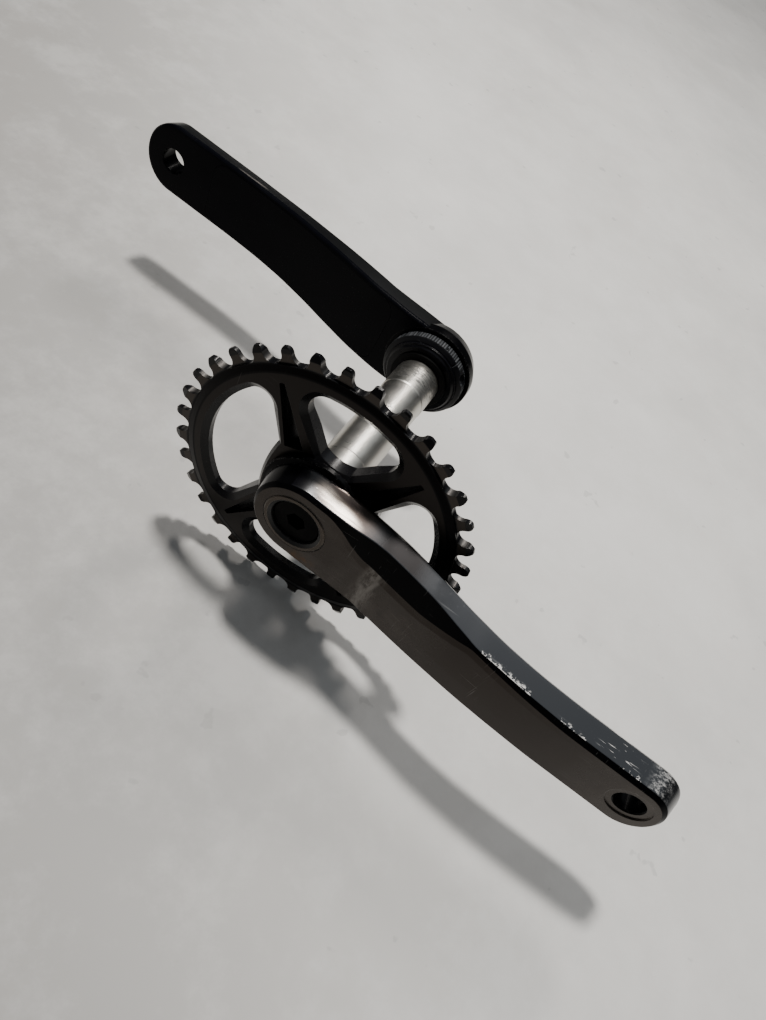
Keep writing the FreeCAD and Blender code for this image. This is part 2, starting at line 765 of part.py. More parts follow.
def cut_windows(body):
    """Each pair of windows is cut through, then bevelled on its outward edge."""
    front = dim("ring_front")
    bevel = DIMENSIONS["window_bevel"]
    deep = DIMENSIONS["window_bevel_depth"]
    mouth_grow = bevel * (deep + OVERCUT) / deep
    through = front - "ring_hub_back" + 2 * OVERCUT
    for shape in (side_window, end_window):
        hole = window_sketch(body, shape, 0.0, front + OVERCUT)
        repeat(body, push(body, hole, through, cut=True), hole, 2)
        floor = window_sketch(body, shape, 0.0, front - "window_bevel_depth")
        mouth = window_sketch(body, shape, mouth_grow, front + OVERCUT)
        repeat(body, loft(body, [floor, mouth], cut=True), floor, 2)


def cut_spoke_slots(body):
    """A tapered slot in the front of each of the four spokes."""
    sketch = new_sketch(body, "XZ_Plane", "ring_front")
    for across in (-1, 1):
        for up in (-1, 1):
            outline(sketch, [(x * across, z * up) for x, z in SPOKE_SLOT])
    push(body, sketch, "slot_depth", cut=True)


def cut_tooth_gaps(body):
    """One gap between teeth, in line with the arm, repeated round the ring."""
    sketch = new_sketch(body, "XZ_Plane", dim("ring_front") + OVERCUT)
    seat = dim("roller_seat_radius")
    flank = seat - "seat_overlap"
    mouth = dim("gap_mouth_half")
    outer = dim("tip_radius") + OVERCUT
    flank_arc = ("tooth_crown_radius", 1)
    outline(sketch, [("pitch_radius", -flank), ("tip_radius", -mouth), (outer, -mouth),
                     (outer, mouth), ("tip_radius", mouth), ("pitch_radius", flank)],
            {0: flank_arc, 4: flank_arc, 5: (seat, -1)})
    cut = push(body, sketch, dim("ring_front") - "ring_hub_back" + 2 * OVERCUT, cut=True)
    repeat(body, cut, sketch, TEETH)


def thin_alternate_teeth(body):
    """Every second tooth is narrow: a groove over one tooth's sector, repeated."""
    step = 360.0 / TEETH
    sketch = new_sketch(body, "XY_Plane")
    near = dim("tooth_root_radius") + "root_clearance"
    far = dim("tip_radius") + OVERCUT
    for sign in (-1, 1):
        edge = dim("chainline") + dim("narrow_tooth_half") * sign
        beyond = edge + dim("wide_tooth_half") * sign
        outline(sketch, facing(DRIVE, [(near, edge), (far, edge), (far, beyond), (near, beyond)]))
    groove = body.newObject("PartDesign::Groove", "narrow_teeth")
    groove.Profile = sketch
    groove.ReferenceAxis = (sketch, ["V_Axis"])
    groove.Angle = step
    spin_sketch = new_sketch(body, "XZ_Plane")
    repeat(body, groove, spin_sketch, TEETH // 2)


def add_ring_keys(body):
    """Half-round lugs in the bore, which key into the arm's boss."""
    sketch = new_sketch(body, "XZ_Plane", dim("ring_front") - "ring_key_length" - "key_setback")
    circle(sketch, ("ring_bore", 0), "ring_key_radius")
    lug = push(body, sketch, "ring_key_length")
    repeat(body, lug, sketch, RING_KEYS)


def key_boss(body):
    """Grooves in the drive arm's boss for the chainring's lugs."""
    sketch = new_sketch(body, "XZ_Plane", "ring_front")
    circle(sketch, ("ring_bore", 0), dim("ring_key_radius") + "key_play")
    groove = push(body, sketch, dim("ring_front") - "ring_rim_back" + "key_setback", cut=True)
    repeat(body, groove, sketch, RING_KEYS)


def chainring_lockring():
    body = tube("chainring_lockring", "boss_thread_radius", "lockring_radius",
                "lockring_back", "lockring_front", DRIVE)
    sketch = new_sketch(body, "XZ_Plane", dim("lockring_front") + OVERCUT)
    circle(sketch, ("lockring_radius", 0), "lockring_notch")
    depth = dim("lockring_front") - "lockring_back" + 2 * OVERCUT
    notch = push(body, sketch, depth, cut=True)
    repeat(body, notch, sketch, LOCKRING_NOTCHES)
    return body


# ---------------------------------------------------------------- drive-side bolt
def crank_bolt():
    """Hollow-headed bolt with an 8 mm hexagon socket, captive behind the extractor ring."""
    body = new_body("crank_bolt")
    corner = dim("bolt_face") - "bolt_chamfer"
    spin(body, facing(DRIVE, [
        (0, "bolt_end"), ("bolt_shank", "bolt_end"), ("bolt_shank", "bolt_flange_back"),
        ("bolt_flange", "bolt_flange_back"), ("bolt_flange", "bolt_flange_front"),
        ("bolt_head", "bolt_flange_front"), ("bolt_head", corner),
        (dim("bolt_head") - "bolt_chamfer", "bolt_face"), (0, "bolt_face")]))
    sketch = new_sketch(body, "XZ_Plane", dim("bolt_face") + OVERCUT)
    flat = dim("bolt_hex_flat")
    across = flat * (2.0 / math.sqrt(3.0))
    outline(sketch, [(across, 0), (across * 0.5, flat), (across * -0.5, flat), (-across, 0),
                     (across * -0.5, -flat), (across * 0.5, -flat)])
    push(body, sketch, dim("bolt_face") + OVERCUT - "bolt_socket_floor", cut=True)
    return body


def extractor_ring():
    """Threaded ring that the bolt pushes against to draw the arm off."""
    body = new_body("extractor_ring")
    outer = dim("extractor_radius") - "bond_line"
    bore = "extractor_bore"
    groove = "extractor_groove_radius"
    spin(body, facing(DRIVE, [
        (bore, "extractor_back"), (outer, "extractor_back"), (outer, "hub_outer"),
        (outer - "extractor_edge", "extractor_front"),
        (dim(bore) + "extractor_lead_in", "extractor_front"),
        (bore, dim("extractor_front") - "extractor_lead_depth"), (bore, "extractor_groove_front"),
        (groove, "extractor_groove_front"), (groove, "extractor_groove_back"),
        (bore, "extractor_groove_back")]))
    return body


def o_ring(label, centre_radius, thickness_radius, out, side):
    ring = DOC.addObject("Part::Torus", label)
    ring.Label = label
    ring.setExpression("Radius1", dim(centre_radius).text)
    ring.setExpression("Radius2", dim(thickness_radius).text)
    ring.Placement = FreeCAD.Placement(V(0, 0, 0), FreeCAD.Rotation(V(1, 0, 0), 90))
    ring.setExpression(".Placement.Base.y", (dim(out) * side).text)
    return ring


# ---------------------------------------------------------------- the whole part
def build():
    play = dim("spindle_radius") + "spline_play"
    lockring_hole = dim("boss_thread_radius") + "key_play"
    extractor_groove = (dim("extractor_groove_back") + "extractor_groove_front") * 0.5
    preload_groove = (dim("preload_groove_near") + "preload_groove_far") * 0.5
    return [
        drive_arm(),
        inner_plate(DRIVE, "drive_arm_plate"),
        left_arm(),
        inner_plate(LEFT, "left_arm_plate"),
        spindle(),
        spindle_bung(),
        left_hub_cap(),
        preload_ring(),
        preload_clamp_screw(),
        preload_washer(),
        tube("left_dust_seal", play, "seal_outer", "left_seal_near", "left_seal_far", LEFT),
        o_ring("preload_o_ring", "preload_o_ring_radius", "preload_o_ring_thickness",
               preload_groove, LEFT),
        chainring(),
        chainring_lockring(),
        tube("lockring_washer", lockring_hole, "lockring_washer_radius",
             "lockring_washer_back", "lockring_washer_front", DRIVE),
        crank_bolt(),
        tube("crank_bolt_washer", "bolt_washer_inner", "bolt_washer_outer",
             "bolt_washer_back", "bolt_washer_front", DRIVE),
        extractor_ring(),
        o_ring("extractor_o_ring", "extractor_o_ring_radius", "extractor_o_ring_thickness",
               extractor_groove, DRIVE),
        tube("drive_dust_seal", play, "seal_outer", "drive_seal_near", "drive_seal_far", DRIVE),
    ]


def check(parts):
    """Stop with a plain message if any object failed or any sub-part has no sound shape."""
    for item in DOC.Objects:
        if "Invalid" in item.State or "Error" in item.State:
            raise RuntimeError(f"{item.Label} failed: {item.State}")
    for part in parts:
        if part.Shape.isNull() or not part.Shape.isValid():
            raise RuntimeError(f"{part.Label} has no valid shape")


def write(parts):
    os.makedirs("parts", exist_ok=True)
    for part in parts:
        part.Shape.exportStep(f"parts/{part.Label}.step")
        box = part.Shape.BoundBox
        print(f"{part.Label}: {len(part.Shape.Solids)} solid, {part.Shape.Volume:.0f} mm3, "
              f"x {box.XMin:.1f}..{box.XMax:.1f} y {box.YMin:.1f}..{box.YMax:.1f} "
              f"z {box.ZMin:.1f}..{box.ZMax:.1f}")


PARTS = build()
DOC.recompute()
check(PARTS)
write(PARTS)
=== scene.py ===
"""Looks of the bicycle crankset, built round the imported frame.

Sizes are in millimetres in this file and turned into metres where a mesh is made. An arm is
described in its own terms: u along the arm from the spindle, v across it, and out, the
distance from the middle of the bike. The drive side lies at y = -out, and the left arm is
the drive arm turned end for end through the origin.
"""
import math

import bmesh
import bpy
from mathutils import Matrix, Vector


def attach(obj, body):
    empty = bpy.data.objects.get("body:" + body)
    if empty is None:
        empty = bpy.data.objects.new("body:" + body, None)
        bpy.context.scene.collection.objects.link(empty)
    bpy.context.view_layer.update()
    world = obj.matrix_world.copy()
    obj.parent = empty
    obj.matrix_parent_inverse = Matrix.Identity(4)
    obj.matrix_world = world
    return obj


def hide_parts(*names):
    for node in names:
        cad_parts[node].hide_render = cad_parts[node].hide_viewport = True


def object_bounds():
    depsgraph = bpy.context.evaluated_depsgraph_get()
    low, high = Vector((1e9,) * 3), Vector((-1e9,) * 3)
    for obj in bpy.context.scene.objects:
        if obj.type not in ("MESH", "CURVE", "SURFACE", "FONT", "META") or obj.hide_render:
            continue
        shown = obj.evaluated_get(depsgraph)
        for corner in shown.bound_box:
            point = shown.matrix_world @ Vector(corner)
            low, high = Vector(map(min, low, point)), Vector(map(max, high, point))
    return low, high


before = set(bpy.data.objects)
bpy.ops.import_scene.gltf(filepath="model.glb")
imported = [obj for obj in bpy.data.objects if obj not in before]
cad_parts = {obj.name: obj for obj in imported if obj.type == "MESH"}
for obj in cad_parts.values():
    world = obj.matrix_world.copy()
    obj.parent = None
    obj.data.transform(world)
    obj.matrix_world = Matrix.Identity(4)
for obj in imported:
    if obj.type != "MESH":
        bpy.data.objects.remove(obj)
CAD_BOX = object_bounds()
MM = 0.001

# ---------------------------------------------------------------- sizes that the arms share
ARM = 175.0
STEP = 2.0                # spacing of the loops' points along an arm
ROUND_STEPS = 28          # points in half a turn round a hub or a tip
CORNER_STEPS = 3          # pieces of the arc that rounds a corner of an arm's section
TIP_ROUNDNESS = 0.89      # how far a tip reaches beyond the pedal's axis, as a share of its width

# keys along an arm: heights and half widths of its two faces, and the black bevel's two edges
INNER_HEIGHT = [(0, 57.7), (18, 57.7), (40, 59.4), (60, 63.0), (80, 67.0), (100, 70.0),
                (120, 71.5), (140, 72.0), (175, 72.0)]
INNER_HALF = [(0, 22.3), (30, 22.5), (45, 22.2), (60, 21.8), (80, 21.0), (100, 20.4),
              (120, 20.0), (150, 19.8), (175, 19.6)]
FACE_HALF = [(0, 20.3), (20, 21.0), (40, 21.2), (60, 20.5), (80, 19.2), (100, 18.0),
             (120, 17.0), (140, 16.7), (175, 16.8)]
FACE_HEIGHT = [(0, 71.3), (26, 71.3), (37, 71.6), (42, 72.3), (60, 75.4), (80, 78.7),
               (100, 81.4), (120, 83.2), (137, 83.95), (150, 84.0), (175, 84.0)]
BEVEL_OUTER = [(0, 20.4), (20, 20.0), (35, 19.6), (61, 18.7), (81, 17.2), (87, 16.9),
               (101, 16.5), (131, 16.2), (175, 15.6)]
BEVEL_INNER = [(0, 18.6), (10, 18.2), (18, 15.4), (25, 11.1), (33, 8.4), (46, 7.8), (61, 8.3),
               (71, 10.4), (81, 13.3), (87, 15.2), (101, 14.6), (131, 13.6), (175, 13.3)]
BEVEL_DROP = [(0, 1.7), (10, 1.3), (20, 1.1), (33, 2.2), (60, 2.8), (80, 1.7), (88, 1.0),
              (100, 1.4), (175, 1.5)]
RIDGE_RISE = [(0, 0.0), (14, 0.0), (30, 0.35), (46, 0.65), (90, 0.5), (125, 0.1), (150, 0.0),
              (175, 0.0)]
RIDGE_OFFSET = 3.5        # of the faint ridge from the black bevel


def smooth(fraction):
    clipped = min(1.0, max(0.0, fraction))
    return clipped * clipped * (3.0 - 2.0 * clipped)


def mix(a, b, weight):
    return a + (b - a) * weight


def follow(keys, u):
    """Smooth curve through (u, value) keys, without overshoot between equal values."""
    if u <= keys[0][0]:
        return keys[0][1]
    if u >= keys[-1][0]:
        return keys[-1][1]
    index = max(i for i in range(len(keys) - 1) if keys[i][0] <= u)
    (u0, a), (u1, b) = keys[index], keys[index + 1]
    slope = (b - a) / (u1 - u0)

    def tangent(i):
        if i == 0 or i == len(keys) - 1:
            return slope
        left = (keys[i][1] - keys[i - 1][1]) / (keys[i][0] - keys[i - 1][0])
        right = (keys[i + 1][1] - keys[i][1]) / (keys[i + 1][0] - keys[i][0])
        return 0.0 if left * right <= 0 else 2 * left * right / (left + right)

    share = (u - u0) / (u1 - u0)
    span = u1 - u0
    cube = share ** 3
    square = share ** 2
    return ((2 * cube - 3 * square + 1) * a + (cube - 2 * square + share) * span * tangent(index)
            + (3 * square - 2 * cube) * b + (cube - square) * span * tangent(index + 1))


# ---------------------------------------------------------------- mesh helpers
WELD = 0.002              # mm within which vertices are joined
SAME_CORNER = 1e-5        # mm within which two corners of a face count as one
SHARP_ANGLE = math.radians(35.0)
LEAST_TURN = 0.02         # radians, so that an almost straight corner keeps its arc's points
LONGEST_CUT = 0.45        # of a corner's arc along either side, as a share of that side
NORMAL_WEIGHT = 60        # how far the large faces lead the shading of the small ones


def shade(mesh):
    """Smooth shading that stays sharp at an edge steeper than SHARP_ANGLE."""
    for polygon in mesh.polygons:
        polygon.use_smooth = True
    mesh.set_sharp_from_angle(angle=SHARP_ANGLE)


def finish_mesh(name, bm, looks):
    """Turn a bmesh in millimetres into a shaded object in metres."""
    bmesh.ops.remove_doubles(bm, verts=bm.verts, dist=WELD)
    bmesh.ops.recalc_face_normals(bm, faces=bm.faces)
    mesh = bpy.data.meshes.new(name)
    bm.to_mesh(mesh)
    bm.free()
    mesh.transform(Matrix.Scale(MM, 4))
    for look in looks:
        mesh.materials.append(look)
    obj = bpy.data.objects.new(name, mesh)
    bpy.context.scene.collection.objects.link(obj)
    shade(mesh)
    return obj


def grid_faces(bm, loops, material):
    """Quads between successive closed loops of vertices; material gives each face's slot."""
    count = len(loops[0])
    for level in range(len(loops) - 1):
        for i in range(count):
            j = (i + 1) % count
            corners = [loops[level][i], loops[level][j], loops[level + 1][j], loops[level + 1][i]]
            unique = []
            for corner in corners:
                if all((corner.co - other.co).length > SAME_CORNER for other in unique):
                    unique.append(corner)
            if len(unique) < 3:
                continue
            bm.faces.new(unique).material_index = material(level, i)


def turned(bm, profile, side, segments, ripple=None, centre=(0.0, 0.0), look=0):
    """Revolve a profile of (radius, out), from axis to axis, along the spindle's direction."""
    loops = []
    for index, (radius, out) in enumerate(profile):
        ring = []
        for k in range(segments):
            angle = 2 * math.pi * k / segments
            reach = radius + (ripple(index, angle) if ripple and radius > 0 else 0.0)
            ring.append(bm.verts.new((centre[0] + reach * math.cos(angle), side * out,
                                      centre[1] + reach * math.sin(angle))))
        loops.append(ring)
    grid_faces(bm, loops, lambda level, i: look)


def rounded(points, radii):
    """A polyline with short arcs for its inner corners, always with the same point count."""
    out = [points[0]]
    for i in range(1, len(points) - 1):
        here, before, after = Vector(points[i]), Vector(points[i - 1]), Vector(points[i + 1])
        back, ahead = before - here, after - here
        turn = math.pi - back.angle(ahead, math.pi)
        wish = radii[i] * math.tan(max(turn, LEAST_TURN) / 2)
        reach = min(wish, LONGEST_CUT * back.length, LONGEST_CUT * ahead.length)
        start = here + back.normalized() * reach
        end = here + ahead.normalized() * reach
        for k in range(CORNER_STEPS + 1):
            t = k / CORNER_STEPS
            out.append(tuple(start * (1 - t) ** 2 + here * 2 * t * (1 - t) + end * t * t))
    out.append(points[-1])
    return out


def boolean(target, tool, operation="DIFFERENCE"):
    """Apply one exact boolean to target and remove the tool that it used."""
    modifier = target.modifiers.new("cut", "BOOLEAN")
    modifier.operation = operation
    modifier.solver = "EXACT"
    modifier.object = tool
    bpy.context.view_layer.update()
    graph = bpy.context.evaluated_depsgraph_get()
    result = bpy.data.meshes.new_from_object(target.evaluated_get(graph))
    target.modifiers.clear()
    old = target.data
    target.data = result
    bpy.data.meshes.remove(old)
    bpy.data.objects.remove(tool)


def shade_after_booleans(obj):
    shade(obj.data)
    weighted = obj.modifiers.new("even_normals", "WEIGHTED_NORMAL")
    weighted.keep_sharp = True
    weighted.weight = NORMAL_WEIGHT


# ---------------------------------------------------------------- material helpers
BARE_ALUMINIUM = (0.72, 0.70, 0.67)
BARE_SHINE = 0.4          # how metallic scuffed bare metal is, because it scatters light too
BARE_ROUGHNESS = 0.38
EDGE_AGREEMENT = (0.995, 0.90)        # of the true and the rounded normal, off and on an edge


def new_material(name):
    material = bpy.data.materials.new(name)
    material.use_nodes = True
    tree = material.node_tree
    tree.nodes.clear()
    output = tree.nodes.new("ShaderNodeOutputMaterial")
    shader = tree.nodes.new("ShaderNodeBsdfPrincipled")
    tree.links.new(shader.outputs["BSDF"], output.inputs["Surface"])
    return material, tree, shader


def node(tree, kind, settings=None, inputs=None):
    made = tree.nodes.new("ShaderNode" + kind)
    for key, item in (settings or {}).items():
        setattr(made, key, item)
    for key, item in (inputs or {}).items():
        if isinstance(item, bpy.types.NodeSocket):
            tree.links.new(item, made.inputs[key])
        else:
            made.inputs[key].default_value = item
    return made


def place(tree, scale=(1, 1, 1), turn=(0, 0, 0)):
    """Object coordinates in millimetres, scaled and turned."""
    source = node(tree, "TexCoord")
    mapped = node(tree, "Mapping", inputs={"Vector": source.outputs["Object"],
                                           "Rotation": turn})
    mapped.inputs["Scale"].default_value = tuple(1000.0 * s for s in scale)
    return mapped.outputs["Vector"]


def axes(tree):
    """x, y and z in millimetres, each as a socket."""
    return tuple(node(tree, "SeparateXYZ", inputs={0: place(tree)}).outputs)


def ramp(tree, value, low, high):
    """0 below low to 1 above high, or the reverse where high is the lower one."""
    made = node(tree, "MapRange", {"interpolation_type": "SMOOTHSTEP"},
                {"Value": value, "From Min": low, "From Max": high})
    return made.outputs["Result"]


def calc(tree, operation, *values):
    inputs = {i: v for i, v in enumerate(values)}
    return node(tree, "Math", {"operation": operation}, inputs).outputs[0]


def product(tree, *values):
    total = values[0]
    for value in values[1:]:
        total = calc(tree, "MULTIPLY", total, value)
    return total


def largest(tree, *values):
    total = values[0]
    for value in values[1:]:
        total = calc(tree, "MAXIMUM", total, value)
    return total


def between(tree, value, low, high, soft):
    """1 between low and high, falling to 0 over twice soft about each of them."""
    return product(tree, ramp(tree, value, low - soft, low + soft),
                   ramp(tree, value, high + soft, high - soft))


def spindle_distance(tree):
    """Distance from the spindle's axis, in millimetres."""
    x, _, z = axes(tree)
    return calc(tree, "SQRT", calc(tree, "ADD", product(tree, x, x), product(tree, z, z)))


def faces_sideways(tree):
    """1 on a face square to the spindle, 0 on one that runs along it."""
    normal = node(tree, "TexCoord").outputs["Normal"]
    return calc(tree, "ABSOLUTE", node(tree, "SeparateXYZ", inputs={0: normal}).outputs[1])


def noise(tree, where, scale, detail, rough, low, high):
    """A noise field, 0 where it is below low and 1 where it is above high."""
    field = node(tree, "TexNoise", inputs={"Vector": where, "Scale": scale, "Detail": detail,
                                           "Roughness": rough})
    return ramp(tree, field.outputs["Fac"], low, high)


def blend_colour(tree, weight, a, b):
    made = node(tree, "Mix", {"data_type": "RGBA"})
    for key, item in ((0, weight), (6, a), (7, b)):
        if isinstance(item, bpy.types.NodeSocket):
            tree.links.new(item, made.inputs[key])
        else:
            made.inputs[key].default_value = item if key == 0 else (*item, 1.0)
    return made.outputs[2]


def blend_value(tree, weight, a, b):
    return node(tree, "Mix", {"data_type": "FLOAT"}, {0: weight, 2: a, 3: b}).outputs[0]


def edges(tree, radius):
    """0 on open faces to 1 on an edge that is rounded by radius, and the rounded normal."""
    bevel = node(tree, "Bevel", {"samples": 6}, {"Radius": radius * MM})
    plain = node(tree, "NewGeometry")
    dot = node(tree, "VectorMath", {"operation": "DOT_PRODUCT"},
               {0: bevel.outputs["Normal"], 1: plain.outputs["Normal"]})
    return ramp(tree, dot.outputs["Value"], *EDGE_AGREEMENT), bevel.outputs["Normal"]


def scratches(tree, amount):
    """Fine lines in two directions, gathered in a few areas."""
    along = noise(tree, place(tree, (0.03, 0.4, 2.6), (0.3, 0.5, 0.9)), scale=1.0, detail=2.0,
                  rough=0.4, low=0.70, high=0.74)
    across = noise(tree, place(tree, (2.4, 0.5, 0.04), (0.9, 0.2, 0.4)), scale=1.0, detail=2.0,
                   rough=0.4, low=0.71, high=0.75)
    area = noise(tree, place(tree), scale=0.035, detail=2.0, rough=0.5, low=0.50, high=0.66)
    return product(tree, largest(tree, along, across), area, amount)


def film(mask, colour, rough, metallic):
    """A layer on a surface: where it lies, and its colour, roughness and metal."""
    return mask, colour, rough, metallic


def surface(name, colour, tint, rough, metallic, bare, specular=0.5, smudge=0.08,
            grain=(1, 1, 1), bump=0.02, edge=0.25, wear=0.5, scratch=0.3, extra=None):
    """Hard surface: drifting tint, fine grain, scratches, smudges and bare worn edges.

    extra(tree, edge mask) returns a mask of more bare metal, or None, and a list of films.
    """
    material, tree, shader = new_material(name)
    where = place(tree)
    drift = noise(tree, where, scale=0.045, detail=3.0, rough=0.6, low=0.35, high=0.68)
    base = blend_colour(tree, drift, colour, tint)
    touched = noise(tree, where, scale=0.11, detail=5.0, rough=0.6, low=0.3, high=0.7)
    gloss = blend_value(tree, touched, rough - smudge, rough + smudge)
    edge_mask, normal = edges(tree, edge)
    chips = noise(tree, where, scale=0.9, detail=5.0, rough=0.65, low=0.53, high=0.60)
    bared = largest(tree, scratches(tree, scratch), product(tree, edge_mask, chips, wear))
    if extra:
        more, films = extra(tree, edge_mask)
        bared = largest(tree, bared, more) if more else bared
        for mask, film_colour, film_rough, film_metal in films:
            base = blend_colour(tree, mask, base, film_colour)
            gloss = blend_value(tree, mask, gloss, film_rough)
            metallic = blend_value(tree, mask, metallic, film_metal)
    base = blend_colour(tree, bared, base, bare)
    tree.links.new(base, shader.inputs["Base Color"])
    tree.links.new(blend_value(tree, bared, gloss, BARE_ROUGHNESS), shader.inputs["Roughness"])
    tree.links.new(blend_value(tree, bared, metallic, BARE_SHINE), shader.inputs["Metallic"])
    shader.inputs["Specular IOR Level"].default_value = specular
    fine = node(tree, "TexNoise", inputs={"Vector": place(tree, grain), "Scale": 3.5,
                                          "Detail": 3.0, "Roughness": 0.6})
    height = calc(tree, "SUBTRACT", fine.outputs["Fac"], bared)
    relief = node(tree, "Bump", inputs={"Height": height, "Strength": 0.5,
                                        "Distance": bump * MM, "Normal": normal})
    tree.links.new(relief.outputs["Normal"], shader.inputs["Normal"])
    return material


# ---------------------------------------------------------------- wear and painted light
# stretches of the drive arm's edge that stones have chipped: start, end, softness, strength
CHIPPED = [(89.0, 115.0, 2.0, 1.0), (128.0, 143.0, 3.0, 0.85), (158.0, 170.0, 3.0, 0.8)]
WALL_EDGE = (0.088, 71.2, 82.6)       # of the wall's outer edge: slope, start and limit
KNURL_RIBS = 96.0                     # radians of wave in each radian round the adjuster
PAINTED_REFLECTION_SLOPE = 0.276                  # of the painted reflection beside the hub, a bright streak across the wall
RING_FRONT = -54.5                    # mm, just behind the chainring's front face
TOOTH_FRONT = -53.5
WEB_EDGE, TOOTH_ROOT, TOOTH_TIP = 61.3, 65.6, 69.5        # radii on the chainring
EXTRACTOR_BORE = 12.75


def arm_chips(tree, share):
    """Stone chips on the drive arm; share is the part of the chipped stretches that is bare."""
    x, y, z = axes(tree)
    where = place(tree)
    stretches = largest(tree, *[product(tree, between(tree, x, start, end, soft), strength)
                                for start, end, soft, strength in CHIPPED])
    field = noise(tree, where, scale=0.55, detail=4.0, rough=0.7, low=0.0, high=1.0)
    level = calc(tree, "SUBTRACT", calc(tree, "ADD", field, product(tree, stretches, share)), 1.0)
    slope, start, limit = WALL_EDGE
    edge_out = calc(tree, "MINIMUM", calc(tree, "ADD", product(tree, x, slope), start), limit)
    inward = calc(tree, "ADD", edge_out, y)
    chips = product(tree, ramp(tree, level, 0.0, 0.06), ramp(tree, z, 8.0, 11.0),
                    ramp(tree, inward, 2.1, 0.9))
    corner_field = noise(tree, place(tree, (0.6, 1.0, 0.5)), scale=0.8, detail=6.0, rough=0.7,
                         low=0.42, high=0.66)
    corner = product(tree, corner_field, between(tree, x, 172.0, 181.0, 3.5),
                     ramp(tree, z, 10.0, 14.0), 0.85)
    hub_field = noise(tree, where, scale=0.8, detail=3.0, rough=0.6, low=0.65, high=0.69)
    hub_nicks = product(tree, hub_field, between(tree, x, -1.0, 9.0, 2.0),
                        ramp(tree, z, 18.0, 20.0), ramp(tree, y, -64.0, -66.0))
    return largest(tree, chips, corner, hub_nicks)


def pale_wall(tree):
    """A paler stretch, painted where the photo shows the drive arm's wall catch more light."""
    return film(ramp(tree, axes(tree)[0], 61.0, 76.0), (0.118, 0.121, 0.127), 0.22, 1.0)


def shaded_hub(tree):
    """Near black painted on the left arm's sides and the drive arm's hub end, as in the photo."""
    return film(ramp(tree, axes(tree)[0], 7.0, -6.0), (0.002, 0.002, 0.003), 0.22, 0.0)


# chips on the wall's edge, with painted light: a paler stretch and painted shade at the hub end
def edge_wear_and_painted_light(tree, edge_mask):
    return arm_chips(tree, 0.62), [pale_wall(tree), shaded_hub(tree)]


def wall_wear_and_painted_light(tree, edge_mask):
    """Sparse chips and scrapes, a painted coppery reflection and painted shade on a duller zone.
    """
    x, y, _ = axes(tree)
    scrape_field = noise(tree, place(tree, (0.10, 1.6, 1.0), (0.0, 0.0, 0.4)), scale=1.0,
                         detail=3.0, rough=0.5, low=0.63, high=0.67)
    scrapes = product(tree, scrape_field, between(tree, x, 148.0, 164.0, 4.0))
    # painted reflection: a bright coppery streak beside the hub, slanting across the wall
    slant = calc(tree, "ADD", y, product(tree, x, PAINTED_REFLECTION_SLOPE))
    painted_reflection_field = noise(tree, place(tree, (0.15, 1.4, 0.5)), scale=0.6, detail=4.0, rough=0.6,
                         low=0.15, high=0.60)
    painted_reflection = product(tree, painted_reflection_field, between(tree, slant, -66.0, -60.8, 1.8),
                     between(tree, x, 0.0, 22.0, 4.5), 0.95)
    # painted reflection: its copper fringe round the streak
    painted_copper_fringe = between(tree, x, 2.0, 27.0, 8.0)
    # painted shade over a duller zone of the wall
    painted_dull_shade = between(tree, x, 31.0, 55.0, 6.0)
    films = [pale_wall(tree), film(painted_copper_fringe, (0.125, 0.101, 0.089), 0.24, 1.0),
             film(painted_dull_shade, (0.024, 0.0225, 0.0225), 0.28, 1.0),
             film(painted_reflection, (0.94, 0.82, 0.71), 0.24, 0.9), shaded_hub(tree)]
    return largest(tree, arm_chips(tree, 0.50), scrapes), films


def face_wear_and_painted_light(tree, edge_mask):
    """A pale rub, a brown stain, painted shade on darker stretches and a painted glint line."""
    x, y, z = axes(tree)
    outward = ramp(tree, y, -70.0, -71.2)
    stain_field = noise(tree, place(tree), scale=0.25, detail=4.0, rough=0.6, low=0.30,
                        high=0.60)
    stain = product(tree, stain_field, between(tree, x, 4.0, 15.0, 3.0),
                    ramp(tree, z, -12.5, -17.5), outward, 0.75)
    rub_field = noise(tree, place(tree, (1.0, 1.0, 0.30)), scale=0.33, detail=6.0, rough=0.7,
                      low=0.34, high=0.64)
    rub = product(tree, rub_field, between(tree, x, 36.0, 42.5, 3.2), outward, 0.90)
    # painted shade along the middle of the drive arm's outer face
    darker = product(tree, outward, ramp(tree, x, 58.0, 84.0), ramp(tree, x, 168.0, 140.0))
    # painted shade on the walls from the hub end over the left arm
    side = product(tree, ramp(tree, faces_sideways(tree), 0.7, 0.5), ramp(tree, x, 20.0, -10.0))
    # painted glint: a bright line on the left arm's side
    line_field = noise(tree, place(tree, (0.15, 2.0, 1.0)), scale=1.0, detail=3.0, rough=0.5,
                       low=0.30, high=0.50)
    line = product(tree, line_field, between(tree, x, -138.0, -122.0, 2.5),
                   between(tree, y, 75.1, 76.3, 0.5))
    return None, [film(darker, (0.0290, 0.0242, 0.0213), 0.27, 1.0),
                  film(stain, (0.078, 0.047, 0.027), 0.33, 1.0),
                  film(rub, (0.185, 0.174, 0.163), 0.44, 1.0),
                  film(side, (0.031, 0.032, 0.033), 0.30, 1.0),
                  film(line, (0.90, 0.81, 0.74), 0.30, 1.0)]


